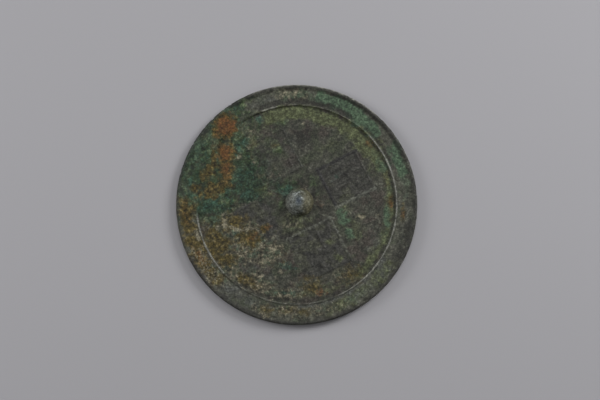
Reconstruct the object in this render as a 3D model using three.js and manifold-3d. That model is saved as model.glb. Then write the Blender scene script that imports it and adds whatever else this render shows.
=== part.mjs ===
// An old cast bronze mirror, lying on its polished face with its decorated back up.
// It is one casting: a thin disc with a raised lip, a broad plain band, a fine string ring,
// four square panels of worn inscription and a domed knob with a hole for a cord.
// Millimetres, +Z up. The origin is the middle of the underside, and +Y runs along the cord hole.
import * as THREE from 'three';
import { mergeVertices } from 'three/addons/utils/BufferGeometryUtils.js';
import Module from 'manifold-3d';

// Disc
const DIAMETER = 140;
const FIELD_THICKNESS = 3; // the thin middle, inside the string ring
const FACE_FLAT = 28; // diameter of the flat spot that the mirror lies on
const FACE_BULGE = 0.8; // rise of the slightly convex polished face, from its middle to its edge
const EDGE_CHAMFER = 0.9; // worn lower corner of the edge

// Rim
const LIP_RISE = 1; // lip above the plain band
const LIP_TOP = 0.9; // width of the lip's flat crest
const LIP_OUTER_SLOPE = 0.7; // how far the crest stands in from the edge
const LIP_INNER_SLOPE = 1.6; // width of the lip's inner flank
const BAND_RISE = 0.9; // plain band above the field, at the lip's foot
const BAND_FALL = 0.3; // the band sinks this much towards the string ring

// String ring
const RING_INSET = 12; // from the mirror's edge to the middle of the ring
const RING_WIDTH = 1.5; // at its foot
const RING_CREST = 0.5; // width of its worn top
const RING_RISE = 0.7; // crest above the band beside it

// Knob
const KNOB_X = 1.6; // the knob was cast a little off the mirror's centre
const KNOB_Y = 1.1;
const KNOB_DIAMETER = 16;
const KNOB_HEIGHT = 7.6; // above the field
const KNOB_TOP = 5; // diameter of its worn flat top
const CROWN_THICKNESS = 2.7; // metal above the cord hole
const CORD_HOLE_WIDTH = 5.2;
const CORD_HOLE_ROUND = 1.4; // radius of the hole's upper corners

// Inscription panels: each one's bearing from +X, its side, and the gap from its outer corners to the ring
const PANELS = [
  { bearing: 27, side: 26, margin: 10.4 },
  { bearing: 117, side: 26.5, margin: 11.5 },
  { bearing: 208, side: 26.5, margin: 10.1 },
  { bearing: 297, side: 28.5, margin: 11.3 },
];
const FRAME_LINE = 1.5; // width of a panel's raised border, at its foot
const STROKE_WIDTH = 1.9; // of a stroke, at its foot
const STROKE_MARGIN = 1.8; // clear strip between a panel's border and its strokes
const RELIEF_RISE = 0.5; // borders and strokes above the field
const RELIEF_SLOPE = 0.4; // width of their sloping flanks
// Rows of shallow strokes that aren't letters, each from and to a share of the row
const STROKE_ROWS = [
  [[0, 0.4], [0.56, 1]],
  [[0.14, 0.84]],
  [[0, 0.26], [0.38, 0.66], [0.78, 1]],
  [[0, 0.56], [0.72, 1]],
];

const DISC_SIDES = 96;
const KNOB_SIDES = 32;
const FACE_STEPS = 5;
const DOME_STEPS = 7;

const RADIUS = DIAMETER / 2;
const BAND_OUTER = FIELD_THICKNESS + BAND_RISE;
const BAND_INNER = BAND_OUTER - BAND_FALL;
const LIP_HEIGHT = BAND_OUTER + LIP_RISE;
const RING_RADIUS = RADIUS - RING_INSET;
const CORD_HOLE_HEIGHT = KNOB_HEIGHT - CROWN_THICKNESS;
const ROOT_DEPTH = FIELD_THICKNESS / 4; // how deep relief and knob reach into the disc, so that they join it

const wasm = await Module();
wasm.setup();

// A closed geometry as a solid: its shared vertices merged and the collapsed triangles at its poles dropped.
function solid(geometry) {
  const bare = new THREE.BufferGeometry();
  bare.setAttribute('position', geometry.getAttribute('position'));
  bare.setIndex(geometry.getIndex());
  const merged = mergeVertices(bare, 1e-5);
  const index = merged.getIndex().array;
  const corners = [];
  for (let i = 0; i < index.length; i += 3) {
    const [a, b, c] = index.subarray(i, i + 3);
    if (a !== b && b !== c && c !== a) corners.push(a, b, c);
  }
  return new wasm.Manifold(new wasm.Mesh({
    numProp: 3,
    vertProperties: new Float32Array(merged.getAttribute('position').array),
    triVerts: new Uint32Array(corners),
  }));
}

function geometryOf(body) {
  const mesh = body.getMesh();
  const geometry = new THREE.BufferGeometry();
  geometry.setAttribute('position', new THREE.BufferAttribute(mesh.vertProperties, mesh.numProp));
  geometry.setIndex(new THREE.BufferAttribute(mesh.triVerts, 1));
  return geometry;
}

// Turns an outline of [radius, height] points, from axis to axis, about +Z.
function turned(outline, sides) {
  const points = outline.map(([r, z]) => new THREE.Vector2(r, z));
  return new THREE.LatheGeometry(points, sides).rotateX(Math.PI / 2);
}

// The polished face: flat in the middle, then curving up towards the edge.
function faceOutline() {
  const flat = FACE_FLAT / 2;
  const edge = RADIUS - EDGE_CHAMFER;
  const points = [[0, 0]];
  for (let i = 0; i <= FACE_STEPS; i++) {
    const r = flat + (edge - flat) * i / FACE_STEPS;
    points.push([r, FACE_BULGE * (r * r - flat * flat) / (edge * edge - flat * flat)]);
  }
  return points;
}

function discOutline() {
  const crestOuter = RADIUS - LIP_OUTER_SLOPE;
  const crestInner = crestOuter - LIP_TOP;
  return [
    ...faceOutline(),
    [RADIUS, FACE_BULGE + EDGE_CHAMFER],
    [RADIUS, LIP_HEIGHT - LIP_OUTER_SLOPE],
    [crestOuter, LIP_HEIGHT],
    [crestInner, LIP_HEIGHT],
    [crestInner - LIP_INNER_SLOPE, BAND_OUTER],
    [RING_RADIUS + RING_WIDTH / 2, BAND_INNER],
    [RING_RADIUS + RING_CREST / 2, BAND_INNER + RING_RISE],
    [RING_RADIUS - RING_CREST / 2, BAND_INNER + RING_RISE],
    [RING_RADIUS - RING_WIDTH / 2, FIELD_THICKNESS],
    [0, FIELD_THICKNESS],
  ];
}

// Raised relief on the field: an outline with sloping flanks, widest where it meets the field.
function relief(outline) {
  const geometry = new THREE.ExtrudeGeometry(outline, {
    depth: ROOT_DEPTH,
    bevelThickness: RELIEF_RISE,
    bevelSize: RELIEF_SLOPE,
    bevelSegments: 1,
  });
  return geometry.translate(0, 0, FIELD_THICKNESS - ROOT_DEPTH);
}

function squareOutline(side, Path) {
  const h = side / 2;
  const corners = [[-h, -h], [h, -h], [h, h], [-h, h]];
  return new Path(corners.map(([x, y]) => new THREE.Vector2(x, y)));
}

// A panel's border, drawn where its crest is: the flanks add their slope on both sides.
function border(side) {
  const outline = squareOutline(side - 2 * RELIEF_SLOPE, THREE.Shape);
  outline.holes.push(squareOutline(side - 2 * FRAME_LINE + 2 * RELIEF_SLOPE, THREE.Path));
  return relief(outline);
}

// One stroke along the row's direction, with blunt, slightly pointed ends.
function stroke(from, to, y) {
  const h = STROKE_WIDTH / 2 - RELIEF_SLOPE;
  const tip = h + RELIEF_SLOPE;
  const points = [[from + RELIEF_SLOPE, y], [from + tip, y - h], [to - tip, y - h],
    [to - RELIEF_SLOPE, y], [to - tip, y + h], [from + tip, y + h]];
  return relief(new THREE.Shape(points.map(([px, py]) => new THREE.Vector2(px, py))));
}

// A panel stands as far out as leaves its margin between its outer corners and the string ring.
function panelDistance({ side, margin }) {
  const reach = RING_RADIUS - RING_WIDTH / 2 - margin;
  return Math.sqrt(reach * reach - side * side / 4) - side / 2;
}

function panelSolids(panel, turn) {
  const width = panel.side - 2 * FRAME_LINE - 2 * STROKE_MARGIN;
  const pieces = [border(panel.side)];
  STROKE_ROWS.forEach((row, i) => {
    const line = (i + turn) % STROKE_ROWS.length;
    const y = ((line + 0.5) / STROKE_ROWS.length - 0.5) * width;
    for (const [from, to] of row) {
      pieces.push(stroke((from - 0.5) * width, (to - 0.5) * width, y));
    }
  });
  const bearing = THREE.MathUtils.degToRad(panel.bearing);
  const place = new THREE.Matrix4().makeRotationZ(bearing)
    .multiply(new THREE.Matrix4().makeTranslation(panelDistance(panel), 0, 0));
  return pieces.map((piece) => solid(piece.applyMatrix4(place)));
}

// The knob's dome: a stretch of an ellipse, up to its worn flat top.
function knobDome() {
  const radius = KNOB_DIAMETER / 2;
  const last = Math.acos(KNOB_TOP / KNOB_DIAMETER);
  const outline = [[0, -ROOT_DEPTH], [radius, -ROOT_DEPTH]];
  for (let i = 0; i <= DOME_STEPS; i++) {
    const a = last * i / DOME_STEPS;
    outline.push([radius * Math.cos(a), KNOB_HEIGHT * Math.sin(a) / Math.sin(last)]);
  }
  outline.push([0, KNOB_HEIGHT]);
  return solid(turned(outline, KNOB_SIDES));
}

// The hole that a cord goes through: flat below, with rounded upper corners, right through along Y.
function cordHole() {
  const w = CORD_HOLE_WIDTH / 2;
  const round = Math.min(CORD_HOLE_ROUND, w * 0.95, CORD_HOLE_HEIGHT * 0.95);
  const top = CORD_HOLE_HEIGHT;
  const outline = new THREE.Shape();
  outline.moveTo(-w, -2 * ROOT_DEPTH);
  outline.lineTo(w, -2 * ROOT_DEPTH);
  outline.lineTo(w, top - round);
  outline.absarc(w - round, top - round, round, 0, Math.PI / 2, false);
  outline.lineTo(round - w, top);
  outline.absarc(round - w, top - round, round, Math.PI / 2, Math.PI, false);
  outline.closePath();
  const length = 2 * KNOB_DIAMETER;
  const geometry = new THREE.ExtrudeGeometry(outline, { depth: length, bevelEnabled: false, curveSegments: 5 });
  return solid(geometry.rotateX(Math.PI / 2).translate(0, length / 2, 0));
}

function mirror() {
  let body = solid(turned(discOutline(), DISC_SIDES));
  const knob = knobDome().subtract(cordHole()).translate([KNOB_X, KNOB_Y, FIELD_THICKNESS]);
  body = body.add(knob);
  PANELS.forEach((panel, turn) => {
    for (const piece of panelSolids(panel, turn)) body = body.add(piece);
  });
  const patina = new THREE.MeshStandardMaterial({ color: 0x4d4f43, roughness: 0.75, metalness: 0.35 });
  const mesh = new THREE.Mesh(geometryOf(body), patina);
  mesh.name = 'mirror_casting';
  return mesh;
}

const group = new THREE.Group();
group.add(mirror());

export default group;
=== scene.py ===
import math

import bpy
import numpy as np
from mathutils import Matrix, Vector, noise


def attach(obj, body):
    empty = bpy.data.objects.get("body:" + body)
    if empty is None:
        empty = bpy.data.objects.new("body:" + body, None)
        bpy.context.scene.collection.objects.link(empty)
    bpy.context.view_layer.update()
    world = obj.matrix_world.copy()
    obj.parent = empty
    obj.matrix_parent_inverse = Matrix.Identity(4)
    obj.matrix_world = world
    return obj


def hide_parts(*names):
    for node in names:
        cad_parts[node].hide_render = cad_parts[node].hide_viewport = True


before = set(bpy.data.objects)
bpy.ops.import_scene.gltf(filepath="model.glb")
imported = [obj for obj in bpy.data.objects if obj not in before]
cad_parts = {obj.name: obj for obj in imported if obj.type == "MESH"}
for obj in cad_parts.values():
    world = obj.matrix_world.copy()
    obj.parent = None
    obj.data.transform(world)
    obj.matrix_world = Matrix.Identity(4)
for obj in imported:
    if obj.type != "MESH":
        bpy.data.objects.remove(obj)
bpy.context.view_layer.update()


# The disc. High-tin bronze, cast in a two-part mould with its lip, plain band and string ring in one
# pour, then ground slightly convex and polished on the face that it lies on. Its corners are worn
# round, and years in the ground have eaten little bites out of its edge, most at the upper left.
MM = 0.001
EDGE_RADIUS = 70.0
FIELD_HEIGHT = 3.0
# The back as cast, from its middle to its edge: (radius, height)
SECTION = [
    (0.0, 3.0), (57.25, 3.0), (57.75, 4.3), (58.25, 4.3), (58.75, 3.6),
    (66.8, 3.9), (68.4, 4.9), (69.3, 4.9), (70.0, 4.2),
]
# How far wear rounds the section's corners, and how many of its steps that takes in to each side
SECTION_STEP = 0.02
CORNER_WEAR = 0.17
WEAR_REACH = 24
# Rings of points over the back: (first radius, last radius, step), closest on the string ring
BACK_RINGS = [
    (0.4, 14.0, 0.5), (14.0, 48.0, 0.4), (48.0, 56.6, 0.55),
    (56.6, 59.4, 0.27), (59.4, 66.8, 0.62), (66.8, 69.7, 0.3),
]
# The points of a ring stand closer where the panels are
PANEL_RADII = (14.0, 48.0)
PANEL_SPACING = 0.46
PLAIN_SPACING = 0.56
FEWEST_POINTS = 8
# The worn wall under the lip: (radius, height, spacing of the points)
WALL_RINGS = [
    (69.95, 4.1, 0.6), (70.0, 3.6, 0.7), (70.0, 3.0, 0.8), (70.0, 2.3, 0.8),
    (69.97, 1.75, 0.7), (69.6, 1.15, 0.7), (69.1, 0.8, 0.8),
]
# The polished face, flat in its middle and rising towards its edge
FACE_FLAT = 14.0
FACE_EDGE = 69.1
FACE_RISE = 0.8
FACE_RADII = (68.0, 1.5)
FACE_STEP = 1.9
# Where the green crust has grown level over the ring and the lip: (radius, height) and bearings
CRUST_LEVEL = [(48, 3.05), (55, 3.6), (59, 4.15), (66, 4.4), (69, 4.75), (70, 4.2)]
CRUST_BEARINGS = (121, 185)
CRUST_FADE = 9
CRUST_WAVE = 0.3
CRUST_WAVE_PITCH = 0.9
CRUST_LIMIT = 69.8
# Bites out of the edge, wide ones and small ones: (size of their lumps, noise seed), and their depths
BITTEN_RADIUS = 67
BITTEN_FADE = 2.5
LOWEST_BITE = 0.9
WIDE_BITES = (5.0, 3)
WIDE_START = 0.05
WIDE_DEPTH = 0.14
SMALL_BITES = (2.4, 8)
SMALL_DEPTH = 0.04
WORST_DEPTH = 1.1
WORST_BEARING = 148
WORST_SPREAD = 22
SEED_STEPS = (17.3, 5.1, 9.7)
NOISE_FALL = 0.9
NOISE_GAP = 2.1
NOISE_LAYERS = 4


def worn_section(radius):
    """Height of the cast back at a radius, with the section's corners rubbed round."""
    fine = np.arange(0.0, EDGE_RADIUS + SECTION_STEP / 2, SECTION_STEP)
    height = np.interp(fine, [r for r, _ in SECTION], [z for _, z in SECTION])
    reach = np.arange(-WEAR_REACH, WEAR_REACH + 1) * SECTION_STEP
    rub = np.exp(-0.5 * (reach / CORNER_WEAR) ** 2)
    rub = rub / rub.sum()
    padded = np.pad(height, WEAR_REACH, mode="edge")
    return np.interp(radius, fine, np.convolve(padded, rub, mode="valid"))


def steps(start, end, step):
    """Even steps of about that size from the start, the end left out."""
    count = max(1, round(abs(end - start) / step))
    return [start + (end - start) * i / count for i in range(count)]


def disc_stations():
    """The disc's rings of points, over the back, down the wall and under: (radius, height, spacing)."""
    radii = [r for first, last, step in BACK_RINGS for r in steps(first, last, step)]
    inner, outer = PANEL_RADII
    spacing = [PANEL_SPACING if inner <= r < outer else PLAIN_SPACING for r in radii]
    back = list(zip(radii, worn_section(np.array(radii)), spacing))
    face = []
    for r in steps(*FACE_RADII, FACE_STEP):
        rise = max(0.0, (r * r - FACE_FLAT ** 2) / (FACE_EDGE ** 2 - FACE_FLAT ** 2))
        face.append((r, FACE_RISE * rise, FACE_STEP))
    return back + WALL_RINGS + face


def skin(rings, first_pole, last_pole):
    """Closed skin over rings of points, each stitched to the next by angle, with a pole at both ends."""
    points = [np.array([first_pole])]
    starts = []
    at = 1
    for ring in rings:
        starts.append((at, len(ring)))
        points.append(ring)
        at += len(ring)
    points.append(np.array([last_pole]))
    faces = []
    first, n = starts[0]
    faces += [(0, first + i, first + (i + 1) % n) for i in range(n)]
    for (a, n), (b, m) in zip(starts, starts[1:]):
        i = j = 0
        while i < n or j < m:
            if j >= m or (i < n and (i + 1) * m < (j + 1) * n):
                faces.append((a + i % n, b + j % m, a + (i + 1) % n))
                i += 1
            else:
                faces.append((a + i % n, b + j % m, b + (j + 1) % m))
                j += 1
    last, n = starts[-1]
    faces += [(last + (i + 1) % n, last + i, at) for i in range(n)]
    return np.concatenate(points), faces


def ragged(where, size, seed):
    """Uneven growth from about -1 to 1 at points in mm, in lumps of about that size in mm."""
    shift = Vector([seed * step for step in SEED_STEPS])
    return np.array([
        noise.fractal(Vector(p) / size + shift, NOISE_FALL, NOISE_GAP, NOISE_LAYERS) for p in where
    ])


def crusted_over(radius, degrees, height):
    """The back's height round one ring of points, levelled up where the crust has filled it."""
    if height < FIELD_HEIGHT or radius < CRUST_LEVEL[0][0] or radius > CRUST_LIMIT:
        return np.full(len(degrees), height)
    level = np.interp(radius, [r for r, _ in CRUST_LEVEL], [z for _, z in CRUST_LEVEL])
    inside = np.minimum(degrees - CRUST_BEARINGS[0], CRUST_BEARINGS[1] - degrees)
    wave = CRUST_WAVE * np.sin(degrees * CRUST_WAVE_PITCH + radius)
    share = np.clip(inside / CRUST_FADE + 0.5 + wave, 0, 1)
    return height + share * max(0.0, level - height)


def bites(angle, height):
    """How far the edge is eaten in at each bearing, in mm."""
    rim = [EDGE_RADIUS * np.cos(angle), EDGE_RADIUS * np.sin(angle), np.full(len(angle), height)]
    rim = np.stack(rim, axis=1)
    worst = np.exp(-((np.degrees(angle) - WORST_BEARING) / WORST_SPREAD) ** 2)
    wide = np.clip(ragged(rim, *WIDE_BITES) - WIDE_START, 0, None) * WIDE_DEPTH
    small = np.clip(ragged(rim, *SMALL_BITES), 0, None) * (SMALL_DEPTH + WORST_DEPTH * worst)
    return wide + small


def disc_rings():
    """The disc's rings of points in mm, with the crust and the bites."""
    rings = []
    for radius, height, spacing in disc_stations():
        count = max(FEWEST_POINTS, round(2 * math.pi * radius / spacing))
        angle = np.arange(count) * 2 * math.pi / count
        levels = crusted_over(radius, np.degrees(angle), height)
        ring = np.stack([radius * np.cos(angle), radius * np.sin(angle), levels], axis=1)
        if radius > BITTEN_RADIUS and height > LOWEST_BITE:
            share = min(1.0, (radius - BITTEN_RADIUS) / BITTEN_FADE)
            ring[:, :2] *= (1 - bites(angle, height) * share / radius)[:, None]
        rings.append(ring)
    return rings


def piece_of(name, points, faces):
    """An object of that name from points in mm."""
    mesh = bpy.data.meshes.new(name)
    mesh.from_pydata((np.asarray(points) * MM).tolist(), [], faces)
    mesh.update()
    obj = bpy.data.objects.new(name, mesh)
    bpy.context.scene.collection.objects.link(obj)
    return obj


disc_points, disc_faces = skin(disc_rings(), (0, 0, FIELD_HEIGHT), (0, 0, 0))
mirror = piece_of("cast_mirror", disc_points, disc_faces)


# The stains. Burial left malachite, dark green and ochre crusts on the bronze in patches, and handling
# rubbed the ring, the lip and the knob pale. The dark and pale lists also hold painted light: painted
# shadow and shade at the knob's foot, beside the string ring, along a panel border and on the lip's
# lower left, and painted highlight on the ring's crest and along the lip's top edge. Each patch is an
# oval (middle, half widths, turn, strength) or a stretch of a ring round the mirror (radii, bearings,
# strength), in mm and degrees, grown ragged.
OVALS = {
    "dark_green": [
        ((-30, 16), (12, 15), 0, 1), ((-43, 33), (19, 26), 0, 1), ((-52, 10), (16, 17), 0, 1),
        ((-26, 42), (8, 12), 30, 0.7), ((-5, 10.5), (9, 4.5), 10, 0.8), ((-47, -9), (6, 4), 0, 1),
        ((-39.6, -36.4), (4, 2.4), 20, 0.8), ((-21.6, -20.5), (3.4, 2.4), 0, 0.9),
        ((10.5, 12), (4, 6), 30, 0.7), ((19.5, -49), (4, 3), 20, 0.6), ((-9.3, 31.8), (2.6, 3.8), 0, 0.8),
        ((-7, -51.7), (5.5, 1.8), 0, 0.7), ((-10, 48), (7, 4), 0, 0.5), ((-9, -1.5), (3, 5), 0, 0.5),
        ((-14, 33), (8, 6), 0, 0.5), ((-57, 36), (6, 12), -30, 0.8),
    ],
    "deep_green": [
        ((-25, 10), (12, 14), 0, 1), ((-33, 20), (7, 12), 20, 0.6), ((-52, -2), (9, 6), 0, 0.7),
        ((-57, 18), (6, 12), -15, 0.5), ((-3, 10.5), (9, 4), 10, 0.6),
    ],
    "teal": [
        ((-30.3, 36.5), (2.4, 3), 0, 0.8), ((-35.6, 31.5), (3.4, 5), 0, 0.9),
        ((-21.6, 48.9), (2.4, 3.2), 0, 0.7), ((-47, 26), (2.2, 6), 0, 0.8),
        ((-29.1, 6.5), (4.4, 3.6), 0, 0.8), ((-58.3, 5.4), (6, 5), 0, 0.9),
        ((-36, 45), (4.5, 4), 30, 0.6), ((22.5, 15.5), (3.6, 1.8), 20, 0.4),
        ((-5, 7.8), (4.4, 2.8), 40, 0.9), ((-10, 8), (3.6, 4), 0, 0.5), ((-48, 0), (9, 5), 20, 0.7),
        ((-63, 12), (3.4, 6), 0, 0.6), ((-6.4, -35.8), (4.4, 2.6), 0, 0.8), ((-33, 16), (7, 9), 0, 0.5),
        ((-47, -9), (4, 3), 0, 0.7), ((-39.6, -36.4), (3, 2), 20, 0.6), ((-22, -20.5), (3, 2.4), 0, 0.9),
        ((-36, -17), (3, 4), 0, 0.9), ((-33, -25), (3, 2.4), 0, 0.7), ((-25, -28), (2.6, 2), 0, 0.6),
        ((-44, -19), (2, 3), 0, 0.6), ((-7, -36), (4, 2.6), 0, 0.5), ((-6, -51.5), (5, 1.6), 0, 0.6),
    ],
    "olive": [
        ((40, 36), (10, 6), -52, 1.4), ((-1, -11.5), (12, 6.5), 0, 0.6), ((47, 24), (8, 6), -60, 0.7),
        ((23.5, -31.5), (3.4, 2.4), 0, 0.6), ((19, -22), (2.4, 1.6), 0, 0.5), ((18, 33), (8, 4), 30, 0.4),
        ((47, -44), (6, 4), 45, 0.8), ((26, -1), (5, 4.5), 0, 0.6), ((-45, -22), (7, 11), 20, 0.5),
        ((-20, 9), (6, 5), 0, 0.5), ((34, -14), (8, 5), -40, 0.5), ((-4, -24), (9, 5), 20, 0.3),
    ],
    "malachite": [
        ((57, 32), (4.4, 5.4), -30, 1), ((27, -8.5), (3.4, 6), 20, 0.9),
        ((30.6, -16.5), (2.8, 5), 20, 0.8), ((52.4, -7.5), (2.4, 6.5), 0, 0.85),
        ((50, 23), (6, 5), -40, 0.6), ((32.6, -54.5), (8, 3.4), 35, 0.35), ((-58, 33), (4.6, 7), 0, 0.6),
        ((-43, 55), (3.6, 2.6), 40, 0.8), ((61.5, 18), (2.8, 6), 0, 0.6), ((-51, 40), (4, 6), 30, 0.5),
    ],
    "ochre": [
        ((-41.3, 46), (6.2, 6.8), 0, 1.4), ((-46.4, 41.5), (3, 3.6), 0, 1.2),
        ((-41.2, 31.5), (5.6, 3.6), 0, 1.5), ((-41.2, 22), (4, 9.5), 0, 1.5),
        ((-48.4, 25.3), (1.9, 8), 0, 1), ((-52.5, 18), (3.2, 5.6), -15, 1), ((-50, 8), (7, 4.4), 12, 1.3),
        ((-43, 11.4), (6, 2.2), 0, 1), ((-59.4, 8.3), (2.3, 2.6), 0, 1),
        ((-36, -10.5), (8.5, 4.6), 0, 0.9), ((-28, -20), (7, 6), 20, 1), ((-19, -14.2), (4, 2.4), 15, 1),
        ((-46, -24), (9, 13), 20, 0.9), ((-40, -31.5), (6, 4.8), 0, 0.9),
        ((-28.5, -44.5), (9, 4), -30, 0.7), ((-18, -61.5), (5, 3.4), -15, 0.6),
        ((-5.5, -61.8), (6, 3), 0, 0.5), ((54.8, 1.6), (2, 3.4), 0, 0.8),
        ((61.8, -5), (1.8, 6.4), 0, 0.65), ((32, -41), (8, 6), 0, 0.6), ((8.5, -47.5), (8, 6), 0, 0.6),
        ((3, -63), (6, 3), 0, 0.6), ((-12, 34.5), (4, 2), 0, 0.4), ((-63, 33), (2.4, 4), 30, 0.4),
        ((-8, -32), (4, 3), 0, 0.4),
    ],
    "rust": [
        ((-40.8, 46), (4.6, 5), 0, 1.4), ((-46, 42), (2.6, 3), 0, 0.5), ((-41.5, 30), (4, 4.4), 0, 1),
        ((-41, 20), (3, 7), 0, 0.65), ((13.4, -51.1), (3.4, 2.2), 0, 0.6), ((14, 1), (3.6, 4.6), 0, 0.25),
        ((-17.5, -13.6), (3.4, 1.8), 15, 0.5), ((-25, -19), (4.6, 2.8), 20, 0.5),
        ((61.8, -6), (1.6, 4.2), 0, 0.4), ((54.8, 0), (1.6, 2.6), 0, 0.6),
        ((-64.5, -5), (2.8, 9), 6, 0.35), ((-56, -31), (3, 8), 30, 0.5), ((43, 35), (3, 2), -40, 0.5),
    ],
    "earth": [
        ((-29, -20), (15, 14), 10, 1.2), ((-18, -28), (9, 8.5), 20, 1.3), ((-45, -26), (9, 14), 20, 1),
        ((-55, -33), (6, 10), 35, 0.9), ((-20, -47), (12, 5.5), -20, 1.1), ((-2, -12.5), (10, 5), 0, 0.5),
        ((37.3, -7.2), (3.2, 1.9), -15, 1), ((-3, 64), (9, 4), 4, 1.2), ((3.8, 46.8), (1.8, 1.6), 0, 0.6),
        ((-26, 40), (9, 9), 0, 0.4), ((28, -42), (9, 5), 0, 0.6), ((-18, -61.5), (6, 4), -15, 1),
        ((-5.5, -61.8), (7, 3.6), 0, 1), ((-14, 17.7), (6.5, 4.4), 20, 0.5), ((5, -50), (11, 7), 0, 0.5),
    ],
    "chalk": [
        ((-42, -11.2), (1.7, 3), 15, 0.8), ((-28.6, -14.1), (2.6, 1.7), 0, 0.8),
        ((-13.6, -26.5), (2.6, 1.6), 40, 0.8), ((-18.1, -32.4), (3, 1.7), 40, 0.8),
        ((-35.5, -14.5), (3.4, 1.7), -20, 0.7), ((37.3, -7.3), (2.6, 1.2), -20, 0.9),
        ((-26.8, 43), (2, 1.2), 10, 0.7), ((-28, 33), (1.6, 1.4), 0, 0.4),
        ((-33.8, 27.4), (2, 1.4), 0, 0.45), ((-24.2, 24.5), (1.6, 1.1), 0, 0.45),
        ((-21, -24), (2.6, 1.4), 60, 0.6), ((-46, -13.5), (1.2, 1.8), 0, 0.6),
        ((46.6, -6.4), (1.6, 1.1), 30, 0.6), ((3.8, 47), (1.2, 1.1), 0, 0.25),
        ((-57.6, -18), (1.4, 3.6), 20, 0.7), ((-9.2, -39), (1.3, 1.2), 0, 0.7),
        ((-18.6, -64), (1.4, 2.2), -15, 0.5), ((11.8, -59), (2, 1.2), 0, 0.5),
        ((-3, 64.6), (6, 1.7), 4, 0.5), ((-50, -44.5), (1.8, 1.3), 0, 0.7),
        ((-15, -55.8), (1.4, 1.1), 0, 0.5), ((-17.5, -49), (1.7, 1.4), 0, 0.5),
        ((4.6, 9.4), (1.7, 1.2), 30, 0.4), ((-60, -27), (1.4, 2.4), 20, 0.5),
        ((-32, -25), (3, 2), 0, 0.4),
    ],
    "dark": [
        # Painted light among these: a painted shadow at the knob's south foot (0, -9.6), dirt with painted
        # shade before the cord hole's north mouth (3.6, 12.8) and (3.2, 11.6), and painted shade along the
        # south-east panel's inner border (10.5, -10.8) and (-3.5, -17.2)
        ((0, -9.6), (8, 3), 0, 0.5), ((3.6, 12.8), (4.2, 3.2), 0, 0.9), ((13, -6), (5.4, 6), 0, 0.7),
        ((-10, 3), (4, 7), 0, 0.25), ((-20.1, 28.9), (4, 3.4), 0, 0.6), ((12, 9), (5, 7), 0, 0.6),
        ((10.5, -10.8), (7.5, 1.7), 27, 1), ((-3.5, -17.2), (9, 1.6), 27, 0.9),
        ((26, 30), (8, 3), 20, 0.3), ((4, 40), (12, 6), 0, 0.8), ((3.2, 11.6), (3.4, 2), 0, 1),
        ((-60.5, 33.2), (1.3, 3), -30, 1), ((-53.4, 42.1), (1.3, 2.6), -40, 1),
        ((-36.5, 58.3), (3.4, 1.2), 32, 0.8),
    ],
    "ash": [
        ((-35, -24.6), (2.8, 2), 0, 0.9), ((-30.9, -31.1), (4, 3), 0, 0.7),
        ((-24, -37), (10, 5), -20, 0.6), ((-3, 35), (6, 7), 0, 0.3), ((46, -22), (7, 9), 0, 0.3),
    ],
    "bare": [
        ((-28.5, -4.6), (12, 4.6), 28, 1.4), ((-17, -10), (5.4, 10.5), 28, 1.3),
        ((-15, 21), (6, 8), 20, 0.4),
    ],
}
SWEEPS = {
    "dark_green": [
        ((28, 74), (123, 188), 1), ((58, 74), (117, 132), 0.9),
    ],
    "deep_green": [
        ((66, 74), (120, 188), 0.6),
    ],
    "teal": [
        ((56, 70), (150, 182), 0.35),
    ],
    "olive": [
        ((50, 57.5), (28, 112), 1.35), ((51.5, 57.6), (-52, 30), 0.7), ((59, 67.6), (-75, -30), 0.6),
        ((50, 56), (250, 300), 0.4),
    ],
    "malachite": [
        ((60.6, 67.2), (54, 79), 1.3), ((58.3, 66.8), (40, 62), 1.3), ((61.6, 67.6), (15, 32), 1.2),
        ((61.5, 67), (2, 18), 0.4), ((51.5, 57.2), (-25, 40), 0.25), ((52.5, 57.2), (66, 90), 0.2),
        ((61, 67), (80, 98), 0.4),
    ],
    "ochre": [
        ((58.6, 71), (176, 197), 0.85), ((58.6, 70), (194, 226), 0.9), ((51.5, 57.2), (-12, 22), 0.3),
    ],
    "earth": [
        ((61.4, 67), (84, 99), 0.7), ((49.5, 57), (200, 268), 0.9), ((58.6, 68), (197, 228), 1.1),
        ((60, 67.4), (250, 300), 0.5),
    ],
    "chalk": [
        ((60, 67), (205, 226), 0.35),
    ],
    "dark": [
        # Painted shade with some dark patina in the ring's foot: the stretches just outside the string ring
        # at the top (58.7-61.8 and 58.7-61.0) and just inside it at the bottom and right (54.8-57.2 and
        # 55.8-57.3). Dark metal with painted shade: the lip's lower-left stretch (66.9-72, 207-264)
        ((62.5, 71), (-34, -5), 0.75), ((58.7, 61.8), (56, 112), 1.1), ((58.7, 61.0), (20, 50), 0.8),
        ((54.8, 57.2), (236, 300), 0.7), ((55.8, 57.3), (-60, 82), 0.6), ((66.9, 72), (207, 264), 1),
        ((66.7, 69.8), (22, 74), 1.1), ((66.8, 72), (262, 375), 0.8), ((66.8, 69.6), (70, 122), 0.6),
        ((69, 72), (122, 188), 0.7),
    ],
    "ash": [
        ((58, 67), (224, 250), 0.55), ((57.5, 61.4), (186, 222), 0.5), ((59.5, 67), (99, 118), 0.4),
        ((57.6, 61), (262, 330), 0.65), ((60, 67.8), (-32, 8), 0.2), ((60, 67.8), (300, 330), 0.5),
    ],
    # Rubbed metal with painted highlight on the string ring's crest, brightest on its right side, and a
    # painted highlight along the lip's outer edge at the top (69.2-70.5, 48-112) and at the right
    "pale": [
        ((57.45, 58.6), (-66, 44), 0.9), ((57, 59.1), (186, 222), 0.75), ((57.4, 58.6), (100, 112), 0.7),
        ((57.4, 58.6), (50, 100), 0.3), ((57, 59.4), (236, 292), 0.35), ((69.2, 70.5), (48, 112), 0.8),
        ((69.4, 70.5), (-60, 48), 0.4),
    ],
}
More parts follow.
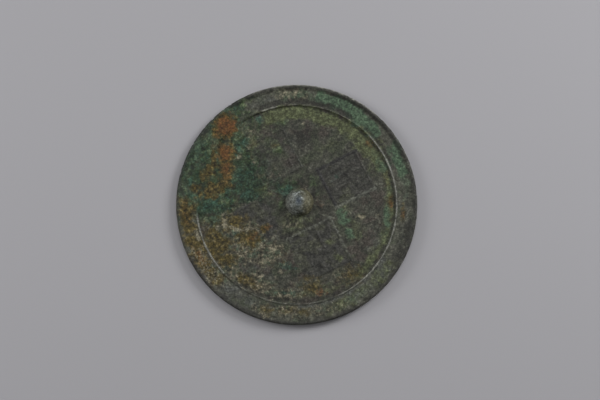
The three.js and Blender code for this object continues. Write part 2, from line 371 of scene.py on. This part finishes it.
# Size in mm of each stain's lumps, and the share of its width that its edge takes to fade
LUMPS = {
    "dark_green": (7, 1.5), "deep_green": (5, 1.6), "teal": (3.5, 1.6), "olive": (4, 1.5),
    "malachite": (3.5, 0.9), "ochre": (3.5, 1.2), "rust": (3, 1.5), "earth": (4, 1.5),
    "chalk": (2, 1.2), "dark": (3, 1.4), "ash": (4, 1.6), "bare": (4, 1.2), "pale": (5, 0.9),
}
GROWTH = 0.6
SHRINKAGE = 0.15
SWEEP_FADE = 4
# A stretch of a ring is never measured along a smaller radius than this
SMALLEST_SWEEP = 10
# Stains end here on the wall, above the polished face, and the pale marks, rubbed metal with painted
# highlight, show on the crests alone
LOWEST_STAIN = 1.2
LOWEST_PALE_MARK = 3.8
# How thick the crusts lie, as shares of the thickest
CRUST_SHARES = {"earth": 1.0, "ochre": 0.8, "malachite": 0.8, "dark_green": 0.7}


def oval(where, middle, half, turn):
    """1 in the middle of an oval patch, 0 at its rim and less outside."""
    c, s = math.cos(math.radians(turn)), math.sin(math.radians(turn))
    x, y = where[:, 0] - middle[0], where[:, 1] - middle[1]
    return 1 - np.hypot((x * c + y * s) / half[0], (y * c - x * s) / half[1])


def sweep(where, radii, bearings):
    """The same for a stretch of a ring round the mirror, which fades over a few mm at its ends."""
    r = np.hypot(where[:, 0], where[:, 1])
    across = 1 - np.abs(r - sum(radii) / 2) / ((radii[1] - radii[0]) / 2)
    off = np.degrees(np.arctan2(where[:, 1], where[:, 0])) - sum(bearings) / 2
    off = np.abs((off + 180) % 360 - 180)
    left = np.radians((bearings[1] - bearings[0]) / 2 - off) * np.maximum(r, SMALLEST_SWEEP)
    return np.minimum(across, left / SWEEP_FADE)


def stain(where, kind):
    """How much of one stain lies at each point. Its seed is its place in the list of lumps."""
    lump, fade = LUMPS[kind]
    growth = GROWTH * ragged(where, lump, 1 + list(LUMPS).index(kind))
    patches = [(oval(where, *place), strength) for *place, strength in OVALS.get(kind, [])]
    patches += [(sweep(where, *place), strength) for *place, strength in SWEEPS.get(kind, [])]
    most = np.zeros(len(where))
    for shape, strength in patches:
        share = np.clip(0.5 + (shape + growth - SHRINKAGE) / fade, 0, 1)
        most = np.maximum(most, strength * share)
    lowest = LOWEST_PALE_MARK if kind == "pale" else LOWEST_STAIN
    return most * (where[:, 2] > lowest)


def keep(obj, name, values):
    """Stores a value for each point of a mesh, for its modifier or its material to read."""
    layer = obj.data.attributes.get(name) or obj.data.attributes.new(name, "FLOAT", "POINT")
    layer.data.foreach_set("value", np.asarray(values, np.float32))


crust = np.zeros(len(disc_points))
for kind, thickness in CRUST_SHARES.items():
    crust = np.maximum(crust, thickness * stain(disc_points, kind))
keep(mirror, "crust", crust)


# The inscription panels. Each is a square border with rows of shallow strokes in it, cut in the mould
# and so raised on the casting. They are worn low, and the crust fills them at the left.
RING_RADIUS = 58.0
RING_WIDTH = 1.5
# Each panel's bearing and side, and the gap from its outer corners to the string ring
PANELS = [(27, 26, 10.4), (117, 26.5, 11.5), (208, 26.5, 10.1), (297, 28.5, 11.3)]
BORDER_WIDTH = 1.5
STROKE_WIDTH = 1.9
STROKE_MARGIN = 1.8
# The strokes of each row, from and to a share of its length
STROKE_ROWS = [
    [(0, 0.4), (0.56, 1)],
    [(0.14, 0.84)],
    [(0, 0.26), (0.38, 0.66), (0.78, 1)],
    [(0, 0.56), (0.72, 1)],
]
RELIEF_RISE = 0.42
RELIEF_SLOPE = 0.65
CRUST_RISE = 0.3
PIT_DEPTH = 0.12
# The noise that wears the relief, heaps the crust and pits the metal: (scale, detail)
WEAR_NOISE = (110, 3)
WEAR_GAIN = 4.0
WEAR_LOSS = 1.35
HEAP_NOISE = (420, 5)
HEAP_GAIN = 2.6
HEAP_LOSS = 0.42
PIT_NOISE = (900, 3)
RELIEF_SEED = 4.0
# How much of the relief the thickest crust hides
CRUST_COVER = 0.6
# The relief is on the back, and the lip's crest stays smooth
RELIEF_FROM = 2.6
RELIEF_TO = 4.6


def panel_distance(side, margin):
    """How far a panel's middle stands from the mirror's centre."""
    reach = RING_RADIUS - RING_WIDTH / 2 - margin
    return math.sqrt(reach ** 2 - side ** 2 / 4) - side / 2


def panel_lines():
    """Middle lines of the borders and of the strokes, as two lists of (start, end) in mm."""
    borders, strokes = [], []
    tip = STROKE_WIDTH / 2
    for turn, (bearing, side, margin) in enumerate(PANELS):
        away = panel_distance(side, margin)
        c, s = math.cos(math.radians(bearing)), math.sin(math.radians(bearing))

        def placed(u, v):
            return ((away + u) * c - v * s, (away + u) * s + v * c, FIELD_HEIGHT)

        h = (side - BORDER_WIDTH) / 2
        corners = [placed(-h, -h), placed(h, -h), placed(h, h), placed(-h, h)]
        borders += zip(corners, corners[1:] + corners[:1])
        width = side - 2 * BORDER_WIDTH - 2 * STROKE_MARGIN
        for i, row in enumerate(STROKE_ROWS):
            line = (i + turn) % len(STROKE_ROWS)
            v = ((line + 0.5) / len(STROKE_ROWS) - 0.5) * width
            for start, end in row:
                first = (start - 0.5) * width + tip
                last = (end - 0.5) * width - tip
                strokes.append((placed(first, v), placed(last, v)))
    return borders, strokes


def wires(name, lines):
    """An object of loose edges, for the relief to follow."""
    mesh = bpy.data.meshes.new(name)
    ends = [tuple(c * MM for c in p) for line in lines for p in line]
    mesh.from_pydata(ends, [(i, i + 1) for i in range(0, len(ends), 2)], [])
    obj = bpy.data.objects.new(name, mesh)
    bpy.context.scene.collection.objects.link(obj)
    return obj


def feed(tree, socket, value):
    """Links another node's output to a socket, or sets the socket to a number or a colour."""
    if isinstance(value, bpy.types.NodeSocket):
        tree.links.new(value, socket)
    else:
        socket.default_value = value


def reckon(tree, kind, a, b, clamp=False):
    """One sum of two values, each a number or another node's output."""
    node = tree.nodes.new("ShaderNodeMath")
    node.operation = kind
    node.use_clamp = clamp
    feed(tree, node.inputs[0], a)
    feed(tree, node.inputs[1], b)
    return node.outputs[0]


def relief_tree():
    """Raises the back along two sets of lines, heaps the crust where it lies and pits the metal."""
    tree = bpy.data.node_groups.new("worn_cast_relief", "GeometryNodeTree")
    sockets = [
        ("Geometry", "Geometry", None), ("Border Lines", "Object", None), ("Stroke Lines", "Object", None),
        ("Border Width", "Float", BORDER_WIDTH * MM), ("Stroke Width", "Float", STROKE_WIDTH * MM),
        ("Slope", "Float", RELIEF_SLOPE * MM), ("Rise", "Float", RELIEF_RISE * MM),
        ("Crust Rise", "Float", CRUST_RISE * MM), ("Pit Depth", "Float", PIT_DEPTH * MM),
        ("Seed", "Float", RELIEF_SEED), ("Finish", "Material", None),
    ]
    for name, kind, value in sockets:
        socket = tree.interface.new_socket(name, in_out="INPUT", socket_type="NodeSocket" + kind)
        if value is not None:
            socket.default_value = value
    tree.interface.new_socket("Geometry", in_out="OUTPUT", socket_type="NodeSocketGeometry")
    nodes, links = tree.nodes, tree.links
    given = nodes.new("NodeGroupInput").outputs

    def times(a, b):
        return reckon(tree, "MULTIPLY", a, b)

    def less(a, b, clamp=False):
        return reckon(tree, "SUBTRACT", a, b, clamp)

    def ridge(lines, width):
        """1 on a line's crest and 0 beyond its foot, with a soft slope between."""
        info = nodes.new("GeometryNodeObjectInfo")
        links.new(given[lines], info.inputs["Object"])
        near = nodes.new("GeometryNodeProximity")
        near.target_element = "EDGES"
        links.new(info.outputs["Geometry"], near.inputs[0])
        half = times(given[width], 0.5)
        shape = nodes.new("ShaderNodeMapRange")
        shape.interpolation_type = "SMOOTHSTEP"
        values = (near.outputs["Distance"], less(half, given["Slope"]), half, 1, 0)
        for socket, value in zip(shape.inputs, values):
            feed(tree, socket, value)
        return shape.outputs[0]

    def lumps(scale, detail):
        grain = nodes.new("ShaderNodeTexNoise")
        grain.noise_dimensions = "4D"
        links.new(given["Seed"], grain.inputs["W"])
        grain.inputs["Scale"].default_value = scale
        grain.inputs["Detail"].default_value = detail
        return grain.outputs[0]

    where = nodes.new("GeometryNodeInputNamedAttribute")
    where.data_type = "FLOAT"
    where.inputs["Name"].default_value = "crust"
    crust_here = where.outputs[0]
    borders, strokes = ridge("Border Lines", "Border Width"), ridge("Stroke Lines", "Stroke Width")
    raised = reckon(tree, "MAXIMUM", borders, strokes)
    worn = less(times(lumps(*WEAR_NOISE), WEAR_GAIN), WEAR_LOSS, clamp=True)
    worn = times(worn, less(1.0, times(crust_here, CRUST_COVER)))
    relief_rise = times(times(raised, worn), given["Rise"])
    heap = less(lumps(*HEAP_NOISE), HEAP_LOSS, clamp=True)
    heap_rise = times(times(times(heap, HEAP_GAIN), crust_here), given["Crust Rise"])
    pit_rise = times(less(lumps(*PIT_NOISE), 0.5), given["Pit Depth"])
    rise = reckon(tree, "ADD", reckon(tree, "ADD", relief_rise, heap_rise), pit_rise)
    apart = nodes.new("ShaderNodeSeparateXYZ")
    links.new(nodes.new("GeometryNodeInputPosition").outputs[0], apart.inputs[0])
    on_back = reckon(tree, "GREATER_THAN", apart.outputs["Z"], RELIEF_FROM * MM)
    below_crest = reckon(tree, "LESS_THAN", apart.outputs["Z"], RELIEF_TO * MM)
    lift = nodes.new("ShaderNodeCombineXYZ")
    links.new(times(rise, times(on_back, below_crest)), lift.inputs["Z"])
    move = nodes.new("GeometryNodeSetPosition")
    links.new(given["Geometry"], move.inputs["Geometry"])
    links.new(lift.outputs[0], move.inputs["Offset"])
    realize = nodes.new("GeometryNodeRealizeInstances")
    links.new(move.outputs[0], realize.inputs[0])
    finish = nodes.new("GeometryNodeSetMaterial")
    links.new(realize.outputs[0], finish.inputs["Geometry"])
    links.new(given["Finish"], finish.inputs["Material"])
    links.new(finish.outputs[0], nodes.new("NodeGroupOutput").inputs[0])
    return tree


def settled(obj):
    """Turns what the object's modifiers give into its plain mesh."""
    graph = bpy.context.evaluated_depsgraph_get()
    mesh = bpy.data.meshes.new_from_object(obj.evaluated_get(graph))
    obj.modifiers.clear()
    obj.data = mesh


bronze = bpy.data.materials.new("patinated_bronze")
border_lines, stroke_lines = panel_lines()
relief_lines = [wires("border_lines", border_lines), wires("stroke_lines", stroke_lines)]
relief = mirror.modifiers.new("relief", "NODES")
relief.node_group = relief_tree()
chosen = {"Border Lines": relief_lines[0], "Stroke Lines": relief_lines[1], "Finish": bronze}
for item in relief.node_group.interface.items_tree:
    if item.in_out == "INPUT" and item.name in chosen:
        relief[item.identifier] = chosen[item.name]
settled(mirror)
for wire in relief_lines:
    bpy.data.objects.remove(wire)


# The knob. A flattened dome cast with the disc, with a hole through it for the cord that the mirror
# was held by. The mould's core left the hole; wear has rounded its mouths and the knob's top.
KNOB_CENTRE = (1.6, 1.1)
KNOB_RADIUS = 8.0
KNOB_HEIGHT = 7.6
KNOB_FLAT = 2.5
KNOB_SIDES = 64
DOME_RINGS = 24
TOP_STEP = 0.5
# The knob spreads a little at its foot and reaches down into the disc, so that the two join
FOOT_SPREAD = 0.35
FOOT_TOP = -0.1
ROOT_DEPTH = 0.9
ROOT_RADII = (7.5, 0.8)
ROOT_STEP = 1.0
HOLE_HALF = 2.6
HOLE_HEIGHT = 4.9
HOLE_ROUND = 1.4
HOLE_ARC_POINTS = 7
CORE_DEPTH = 1.2
CORE_REACH = 14.0
WEAR_VOXEL = 0.27


def knob_rings():
    """The knob's rings of points in mm, from its flat top over the dome to its root in the disc."""
    last = math.acos(KNOB_FLAT / KNOB_RADIUS)
    outline = [(r, KNOB_HEIGHT) for r in steps(TOP_STEP, KNOB_FLAT, TOP_STEP)]
    for i in range(DOME_RINGS):
        a = last * (1 - i / DOME_RINGS)
        outline.append((KNOB_RADIUS * math.cos(a), KNOB_HEIGHT * math.sin(a) / math.sin(last)))
    outline += [(KNOB_RADIUS + FOOT_SPREAD, FOOT_TOP), (KNOB_RADIUS + FOOT_SPREAD, -ROOT_DEPTH)]
    outline += [(r, -ROOT_DEPTH) for r in steps(*ROOT_RADII, ROOT_STEP)]
    angle = np.arange(KNOB_SIDES) * 2 * math.pi / KNOB_SIDES
    rings = []
    for radius, height in outline:
        ring = [radius * np.cos(angle), radius * np.sin(angle), np.full(KNOB_SIDES, height)]
        rings.append(np.stack(ring, axis=1) + [*KNOB_CENTRE, FIELD_HEIGHT])
    return rings


def hole_core():
    """The clay core's shape: flat below, with round upper corners, through the knob along Y."""
    inner, lower = HOLE_HALF - HOLE_ROUND, HOLE_HEIGHT - HOLE_ROUND
    turns = np.linspace(0, math.pi / 2, HOLE_ARC_POINTS)
    arc = [(inner + HOLE_ROUND * math.cos(a), lower + HOLE_ROUND * math.sin(a)) for a in turns]
    half = [(HOLE_HALF, -CORE_DEPTH)] + arc
    outline = half + [(-x, z) for x, z in reversed(half)]
    points = [(x, y, z) for y in (-CORE_REACH, CORE_REACH) for x, z in outline]
    n = len(outline)
    faces = [(i, (i + 1) % n, (i + 1) % n + n, i + n) for i in range(n)]
    faces += [tuple(reversed(range(n))), tuple(range(n, 2 * n))]
    return np.array(points) + [*KNOB_CENTRE, FIELD_HEIGHT], faces


def boolean(obj, other, kind):
    """Joins another solid to a piece, or cuts it out of the piece."""
    cut = obj.modifiers.new(kind.lower(), "BOOLEAN")
    cut.operation = kind
    cut.solver = "MANIFOLD"
    cut.object = other
    settled(obj)
    bpy.data.objects.remove(other)


top = (*KNOB_CENTRE, FIELD_HEIGHT + KNOB_HEIGHT)
root = (*KNOB_CENTRE, FIELD_HEIGHT - ROOT_DEPTH)
knob = piece_of("knob", *skin(knob_rings(), top, root))
boolean(knob, piece_of("core", *hole_core()), "DIFFERENCE")
wear = knob.modifiers.new("wear", "REMESH")
wear.mode = "VOXEL"
wear.voxel_size = WEAR_VOXEL * MM
rub = knob.modifiers.new("rub", "SMOOTH")
rub.factor = 0.5
rub.iterations = 5
settled(knob)
boolean(mirror, knob, "UNION")


# The finish. Bare bronze shows grey-olive under thin films and crusts. Each stain of the list above is
# one coat, broken up by grain, over a mottled metal that is paler on the plain band than in the field.
# Some coats are painted light and shade: along the panel borders, on the knob's flanks, and the
# painted marks in the dark and pale lists.
PATCH_SIZE = 4.0
PATCH_SEED = 21
PATCH_STRENGTH = 1.2
# The knob is rubbed bright on its crown, with a dark spot on its top; painted light lightens its west
# flank, and its east flank has a cream tone with painted light on it
KNOB_COAT_RADIUS = 8.8
KNOB_COAT_FROM = 0.2
CROWN_RADIUS = 7.9
CROWN_FADE = 2.2
SPOT_OFFSET = (-0.8, 0.6)
SPOT_LENGTH = 1.3
SPOT_SIZE = 2.3
# How much bare metal shows in each panel, and the line along its outer, left, inner and right border
# as seen from the knob: a painted highlight where above 0, and a painted shade where below
PANEL_METAL = (1, 0.4, 0.5, 1.1)
PANEL_EDGES = (
    (0.15, -1.3, -1.5, 1.4), (-0.4, 0, -0.4, -0.4), (0, -0.3, 0.3, -0.4), (-0.4, 0.65, 0.75, 0.2),
)
LINE_STRENGTH = 0.8
LINE_INSET = 0.7
LINE_SPREAD = 0.95
LINE_OVERHANG = 0.6
FIELD_FROM = -0.4
BAND_RADIUS = 57.8
BAND_FADE = 1.2
BAND_FROM = 1.0
CREST_RADIUS = 69.0
CREST_SPREAD = 0.55
CREST_FROM = 4.6


def panel_place(where, bearing, side, margin):
    """Points as seen from a panel's middle: how far out from the mirror's centre, and how far across."""
    c, s = math.cos(math.radians(bearing)), math.sin(math.radians(bearing))
    out = where[:, 0] * c + where[:, 1] * s - panel_distance(side, margin)
    across = where[:, 1] * c - where[:, 0] * s
    return out, across


places = np.empty(len(mirror.data.vertices) * 3, np.float32)
mirror.data.vertices.foreach_get("co", places)
places = places.reshape(-1, 3) / MM
for kind in LUMPS:
    keep(mirror, kind, stain(places, kind))
patchy = PATCH_STRENGTH * ragged(places, PATCH_SIZE, PATCH_SEED)
up = places[:, 2] - FIELD_HEIGHT
knob_x, knob_y = places[:, 0] - KNOB_CENTRE[0], places[:, 1] - KNOB_CENTRE[1]
from_knob = np.hypot(knob_x, knob_y)
on_knob = (from_knob < KNOB_COAT_RADIUS) * (up > KNOB_COAT_FROM)
east = knob_x / KNOB_RADIUS
north_west = np.clip(knob_y / KNOB_RADIUS - east, 0, None)
spot = np.hypot(knob_x - SPOT_OFFSET[0], (knob_y - SPOT_OFFSET[1]) / SPOT_LENGTH)
# How thick each coat lies on the dome, by its side of the dome and by chance
knob_coats = {
    "knob_worn": (CROWN_RADIUS - from_knob - 0.5 * north_west + patchy) / CROWN_FADE,
    # Cream tone with painted light on the knob's east flank
    "knob_cream_and_east_light": 1.6 * east + 0.35 * patchy + (from_knob > 3.5) * 0.1,
    # Painted light on the knob's west flank
    "knob_west_painted_light": 0.15 - 1.1 * east + 0.35 * patchy,
    "knob_dark": 1.3 - spot / SPOT_SIZE + 0.4 * patchy,
}
for kind, thickness in knob_coats.items():
    keep(mirror, kind, on_knob * np.clip(thickness, 0, 1))
panel_metal, panel_border_highlight, panel_shade = np.zeros((3, len(places)))
for (bearing, side, margin), metal, edges in zip(PANELS, PANEL_METAL, PANEL_EDGES):
    out, across = panel_place(places, bearing, side, margin)
    h = side / 2
    inside = h - np.maximum(np.abs(out), np.abs(across))
    panel_metal = np.maximum(panel_metal, metal * np.clip(0.5 + inside / 2 + 0.4 * patchy, 0, 1))
    # Each border line is a painted highlight where its strength is above 0, and a painted shade where below
    for off, strength in zip((h - out, h - across, h + out, h + across), edges):
        line = LINE_STRENGTH * np.exp(-((off - LINE_INSET) / LINE_SPREAD) ** 2) * (inside > -LINE_OVERHANG)
        panel_border_highlight = np.maximum(panel_border_highlight, strength * line)
        panel_shade = np.maximum(panel_shade, -strength * line)
on_field = up > FIELD_FROM
keep(mirror, "panel", panel_metal * on_field)
keep(mirror, "panel_border_highlight", panel_border_highlight * on_field)
keep(mirror, "panel_shade", panel_shade * on_field)
radius = np.hypot(places[:, 0], places[:, 1])
band = np.clip((radius - BAND_RADIUS) / BAND_FADE, 0, 1)
keep(mirror, "band", band * (places[:, 2] > BAND_FROM))
crest = np.exp(-((radius - CREST_RADIUS) / CREST_SPREAD) ** 2)
keep(mirror, "crest", crest * (places[:, 2] > CREST_FROM))

bronze.use_nodes = True
nodes, links = bronze.node_tree.nodes, bronze.node_tree.links
shader = nodes["Principled BSDF"]
place = nodes.new("ShaderNodeTexCoord")


def paint(red, green, blue):
    """A colour as seen on screen, from 0 to 255, as the light that it stands for."""
    return tuple(((c / 255 + 0.055) / 1.055) ** 2.4 for c in (red, green, blue)) + (1.0,)


def calc(kind, a, b):
    return reckon(bronze.node_tree, kind, a, b)


def grain(scale, detail):
    """Three unlike grains of one size, as the channels of one noise."""
    texture = nodes.new("ShaderNodeTexNoise")
    texture.inputs["Scale"].default_value = scale
    texture.inputs["Detail"].default_value = detail
    texture.inputs["Roughness"].default_value = 0.6
    links.new(place.outputs["Object"], texture.inputs["Vector"])
    split = nodes.new("ShaderNodeSeparateColor")
    links.new(texture.outputs["Color"], split.inputs[0])
    return split.outputs


def ramp(value, low, high, start=0.0, end=1.0):
    """A soft rise from the start to the end, as the value goes from low to high."""
    node = nodes.new("ShaderNodeMapRange")
    node.interpolation_type = "SMOOTHSTEP"
    for socket, number in zip(node.inputs, (value, low, high, start, end)):
        feed(bronze.node_tree, socket, number)
    return node.outputs[0]


def coat(under, over, amount, share=1.0, kind="MIX"):
    """Lays one colour over another where the amount says, and no thicker than its share."""
    if share < 1:
        amount = calc("MULTIPLY", amount, share)
    node = nodes.new("ShaderNodeMix")
    node.data_type = "RGBA"
    node.blend_type = kind
    for socket, value in ((node.inputs["Factor"], amount), (node.inputs[6], under), (node.inputs[7], over)):
        feed(bronze.node_tree, socket, value)
    return node.outputs[2]


def amount_of(name):
    """One of the values kept for each point above."""
    node = nodes.new("ShaderNodeAttribute")
    node.attribute_name = name
    return node.outputs["Fac"]


def broken(name, speck, strength=1.6):
    """A stain's amount with its grain eating softly into it."""
    eaten = calc("ADD", amount_of(name), calc("MULTIPLY", calc("SUBTRACT", speck, 0.5), strength))
    return calc("MULTIPLY", ramp(eaten, 0.1, 0.85), ramp(amount_of(name), 0.0, 0.2))


def mottle(speck, *tints):
    """A colour that wanders through the tints, from where a grain is low to where it is high."""
    node = nodes.new("ShaderNodeValToRGB")
    stops = node.color_ramp.elements
    while len(stops) < len(tints):
        stops.new(0.5)
    for i, tint in enumerate(tints):
        stops[i].position = 0.36 + 0.28 * i / (len(tints) - 1)
        stops[i].color = paint(*tint)
    links.new(speck, node.inputs[0])
    return node.outputs[0]


coarse = grain(110, 4)
middling = grain(300, 4)
small = grain(560, 3)
fine = grain(1050, 2)
field = mottle(middling[0], (47, 48, 42), (58, 59, 51), (64, 65, 57), (70, 70, 62), (82, 83, 74))
field = coat(field, mottle(small[1], (48, 52, 41), (60, 64, 52), (72, 76, 61)), ramp(coarse[1], 0.47, 0.62))
field = coat(field, mottle(small[2], (52, 48, 43), (65, 61, 55), (78, 74, 67)), ramp(coarse[2], 0.5, 0.62))
plain = mottle(middling[1], (53, 53, 46), (66, 67, 58), (72, 73, 64), (79, 79, 70), (92, 92, 82))
plain = coat(plain, mottle(small[1], (54, 58, 47), (67, 71, 59), (80, 84, 70)), ramp(coarse[1], 0.5, 0.62))
colour = coat(field, plain, amount_of("band"))
clean = mottle(middling[2], (41, 40, 39), (54, 54, 50), (61, 61, 57), (71, 70, 66))
tinge = mottle(small[0], (50, 52, 40), (62, 64, 49), (76, 78, 60))
clean = coat(clean, tinge, ramp(coarse[0], 0.5, 0.62), 0.5)
colour = coat(colour, clean, amount_of("panel"), 0.85)
green = mottle(middling[1], (24, 31, 21), (41, 52, 36), (52, 65, 43), (65, 77, 53), (96, 109, 82))
green = coat(green, mottle(small[0], (36, 50, 40), (46, 66, 52), (58, 80, 64)), ramp(middling[2], 0.52, 0.66))
green = coat(green, mottle(small[2], (50, 52, 37), (66, 66, 48), (82, 82, 60)), ramp(coarse[0], 0.5, 0.64))
colour = coat(colour, green, broken("dark_green", middling[0], 1.3))
deep = mottle(small[1], (13, 23, 17), (28, 45, 33), (50, 69, 52))
colour = coat(colour, deep, broken("deep_green", middling[1], 1.3), 0.85)
olive = mottle(small[0], (66, 70, 47), (73, 78, 53), (79, 85, 59), (86, 92, 65))
colour = coat(colour, olive, broken("olive", middling[0], 0.8), 0.9)
ash = mottle(small[1], (60, 62, 59), (76, 78, 74), (94, 96, 92))
colour = coat(colour, ash, broken("ash", middling[2], 1.3), 0.8)
earth = mottle(small[0], (46, 45, 38), (68, 66, 55), (80, 77, 63), (92, 88, 74), (122, 116, 98))
earth = coat(earth, mottle(small[2], (54, 60, 48), (70, 77, 62), (84, 92, 76)), ramp(middling[1], 0.5, 0.62))
colour = coat(colour, earth, broken("earth", middling[2], 1.0))
malachite = mottle(small[2], (56, 70, 56), (64, 81, 63), (71, 89, 70), (82, 99, 79))
colour = coat(colour, malachite, broken("malachite", middling[1], 0.8))
teal = mottle(small[0], (38, 58, 50), (47, 75, 63), (60, 90, 77))
colour = coat(colour, teal, broken("teal", small[2], 2.2), 0.6)
colour = coat(colour, clean, broken("bare", middling[0], 1.2))
ochre = mottle(small[1], (42, 37, 22), (60, 54, 31), (71, 63, 34), (83, 73, 40), (104, 92, 57))
colour = coat(colour, ochre, broken("ochre", middling[2], 0.9))
rust = mottle(small[2], (80, 53, 29), (98, 63, 34), (114, 73, 40))
colour = coat(colour, rust, broken("rust", small[1], 1.3), 0.75)
# Dark patina and dirt, with painted shadow at the knob's foot, beside the string ring, along the south-east
# panel's inner border and on the lip's lower-left side
colour = coat(colour, paint(36, 35, 33), broken("dark", middling[2]), 0.68)
colour = coat(colour, paint(128, 123, 104), broken("chalk", fine[1], 2.0), 0.85)
colour = coat(colour, paint(58, 58, 56), amount_of("crest"), 0.4)
# Painted shade along the shaded sides of the panel borders
colour = coat(colour, paint(42, 41, 43), broken("panel_shade", small[0], 1.2), 0.7)
# Painted highlight along the lit sides of the panel borders
colour = coat(colour, paint(97, 99, 90), broken("panel_border_highlight", small[0], 1.4), 0.7)
# Pale: rubbed metal with painted highlight on the string ring's crest, and a painted highlight along the
# lip's outer edge at the top and right
colour = coat(colour, paint(122, 122, 115), broken("pale", small[2], 1.0), 0.95)
worn = mottle(middling[0], (64, 66, 60), (81, 85, 79), (100, 105, 102), (134, 139, 137))
colour = coat(colour, worn, amount_of("knob_worn"))
# Painted light on the knob's west flank
colour = coat(colour, paint(132, 134, 127), amount_of("knob_west_painted_light"), 0.4)
# Cream tone with painted light on the knob's east flank
colour = coat(colour, paint(102, 99, 77), amount_of("knob_cream_and_east_light"), 0.8)
spotted = mottle(small[2], (40, 46, 54), (62, 70, 78), (92, 100, 104))
colour = coat(colour, spotted, amount_of("knob_dark"))
# The grain darkens and lightens it all: a tone of 2 doubles the light, and one of a half halves it
doublings = calc("MULTIPLY", calc("SUBTRACT", coarse[0], 0.5), 1.0)
for speck, strength in ((middling[0], 1.6), (small[0], 2.6), (fine[0], 3.6)):
    doublings = calc("ADD", doublings, calc("MULTIPLY", calc("SUBTRACT", speck, 0.5), strength))
tone = calc("POWER", 2.0, doublings)
links.new(coat(colour, tone, 1.0, kind="MULTIPLY"), shader.inputs["Base Color"])
links.new(ramp(middling[0], 0.3, 0.7, 0.5, 0.82), shader.inputs["Roughness"])
shader.inputs["Specular IOR Level"].default_value = 0.3
shader.inputs["Metallic"].default_value = 0.1
dents = nodes.new("ShaderNodeBump")
dents.inputs["Strength"].default_value = 0.5
dents.inputs["Distance"].default_value = 0.25 * MM
links.new(calc("ADD", small[1], calc("MULTIPLY", middling[0], 0.7)), dents.inputs["Height"])
links.new(dents.outputs[0], shader.inputs["Normal"])

mirror.data.polygons.foreach_set("use_smooth", np.ones(len(mirror.data.polygons), bool))
mirror.data.set_sharp_from_angle(angle=math.radians(50))
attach(mirror, "root")
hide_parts("mirror_casting")


# The floor. A plain sheet of pale matt paper, far larger than the picture, that lies a hair's breadth
# under the mirror's face.
FLOOR_HALF = 3.0
FLOOR_GAP = 0.05
corners = np.array([(-1, -1, 0), (1, -1, 0), (1, 1, 0), (-1, 1, 0)]) * FLOOR_HALF / MM
floor = piece_of("floor", corners - [0, 0, FLOOR_GAP], [(0, 1, 2, 3)])
paper = bpy.data.materials.new("pale_paper")
paper.use_nodes = True
paper_shader = paper.node_tree.nodes["Principled BSDF"]
paper_shader.inputs["Base Color"].default_value = paint(166, 165, 169)
paper_shader.inputs["Roughness"].default_value = 0.9
floor.data.materials.append(paper)


# The light. A soft box at the right and a weaker one at the left, both beyond the mirror's top, a third
# above, and an even pale surround: (place in metres, width, watts).
LAMPS = {
    "right_lamp": ((0.74, 0.52, 0.62), 0.5, 6.6),
    "left_lamp": ((-0.85, 0.23, 0.5), 0.5, 3.6),
    "ceiling": ((0.1, 0.5, 1.3), 0.9, 3.0),
}
SURROUND = 0.28
for name, (lamp_place, width, watts) in LAMPS.items():
    light = bpy.data.lights.new(name, "AREA")
    light.shape = "DISK"
    light.size = width
    light.energy = watts
    lamp = bpy.data.objects.new(name, light)
    lamp.location = lamp_place
    lamp.rotation_euler = (-Vector(lamp_place)).to_track_quat("-Z", "Y").to_euler()
    bpy.context.scene.collection.objects.link(lamp)
world = bpy.data.worlds.new("surround")
world.use_nodes = True
world.node_tree.nodes["Background"].inputs["Color"].default_value = (1, 1, 1, 1)
world.node_tree.nodes["Background"].inputs["Strength"].default_value = SURROUND
bpy.context.scene.world = world
bpy.context.scene.view_settings.view_transform = "Standard"


# The camera. It looks almost straight down, a little from the viewer's side, with the mirror left of
# the picture's middle as in the photograph.
ELEVATION = 84.8
DISTANCE = 0.851
AIM = (1.9, 2.35, 4.0)
LENS = 88
SENSOR = 36
aim = Vector(AIM) * MM
view = Vector((0, -math.cos(math.radians(ELEVATION)), math.sin(math.radians(ELEVATION))))
camera_data = bpy.data.cameras.new("camera")
camera_data.lens = LENS
camera_data.sensor_width = SENSOR
camera = bpy.data.objects.new("camera", camera_data)
camera.location = aim + view * DISTANCE
camera.rotation_euler = (-view).to_track_quat("-Z", "Y").to_euler()
bpy.context.scene.collection.objects.link(camera)
bpy.context.scene.camera = camera
